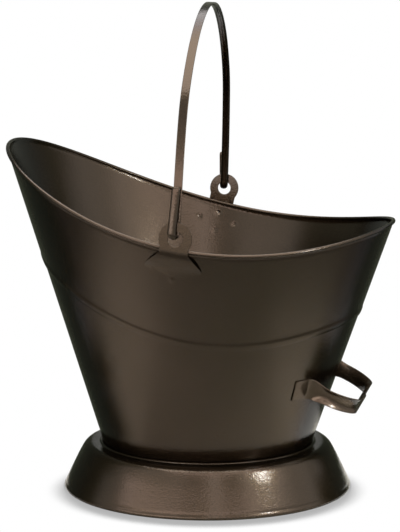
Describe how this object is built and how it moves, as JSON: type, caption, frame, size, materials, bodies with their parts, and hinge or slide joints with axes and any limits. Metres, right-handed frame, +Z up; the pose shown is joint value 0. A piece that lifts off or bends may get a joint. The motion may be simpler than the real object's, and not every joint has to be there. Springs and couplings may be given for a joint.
{
  "type": "coal scuttle",
  "caption": "Footed sheet-metal coal bucket with a high pouring lip, a swinging bail hung from two ears and a strap handle at the rear for tipping.",
  "frame": {"origin": "on the floor, under the middle of the object's length and width", "axes": "+Z up; -X toward the pouring lip; +X toward the rear handle; the hinge line of the bail runs close to Y"},
  "size_m": [0.4006, 0.3839, 0.5016],
  "materials": {
    "bronze_paint": "semi-gloss antique bronze paint with a fine orange-peel grain",
    "steel_wire": "plain drawn wire, hidden inside the rolled edges"
  },
  "bodies": {
    "scuttle": {"hopper_lower": "bronze_paint", "hopper_upper": "bronze_paint", "rim_wire": "steel_wire", "bottom_plate": "bronze_paint", "base_ring": "bronze_paint", "foot_wire": "steel_wire", "ear_near": "bronze_paint", "ear_far": "bronze_paint", "rear_handle": "bronze_paint"},
    "bail": {"bail": "bronze_paint"}
  },
  "joints": [
    {"name": "bail_swing", "type": "hinge", "parent": "scuttle", "child": "bail", "pos_m": [0.00133, 0.00072, 0.28747], "axis": [-0.0665, 0.9974, 0.0285], "range_deg": [-71, 100]}
  ]
}
